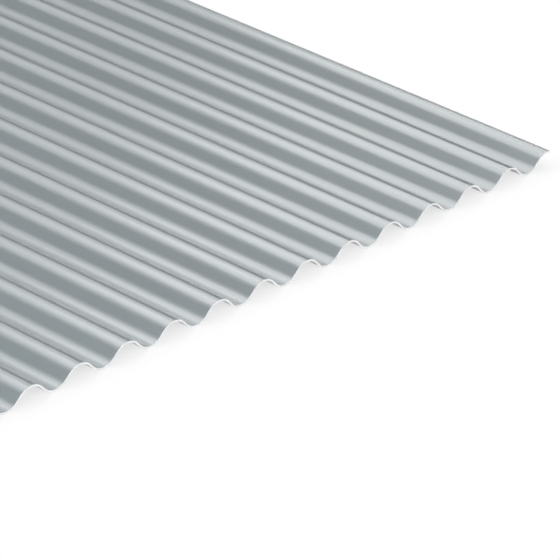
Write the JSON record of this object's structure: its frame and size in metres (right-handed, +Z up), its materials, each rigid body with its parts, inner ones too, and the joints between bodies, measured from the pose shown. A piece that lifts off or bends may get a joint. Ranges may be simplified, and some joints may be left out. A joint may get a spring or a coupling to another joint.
{
  "type": "corrugated pvc sheet",
  "caption": "Corrugated sheet of grey glossy rigid PVC with small even waves, for roofing, cladding and glazing: sawn ends, slit long edges, no holes.",
  "frame": {"origin": "middle of the sheet on the plane that its troughs rest on", "axes": "+X across the waves, +Y along the waves from the near end to the far end, +Z up"},
  "size_m": [0.9, 2, 0.009],
  "materials": {
    "grey_pvc": "gloss"
  },
  "bodies": {
    "root": {"corrugated_sheet": "grey_pvc"}
  },
  "joints": []
}
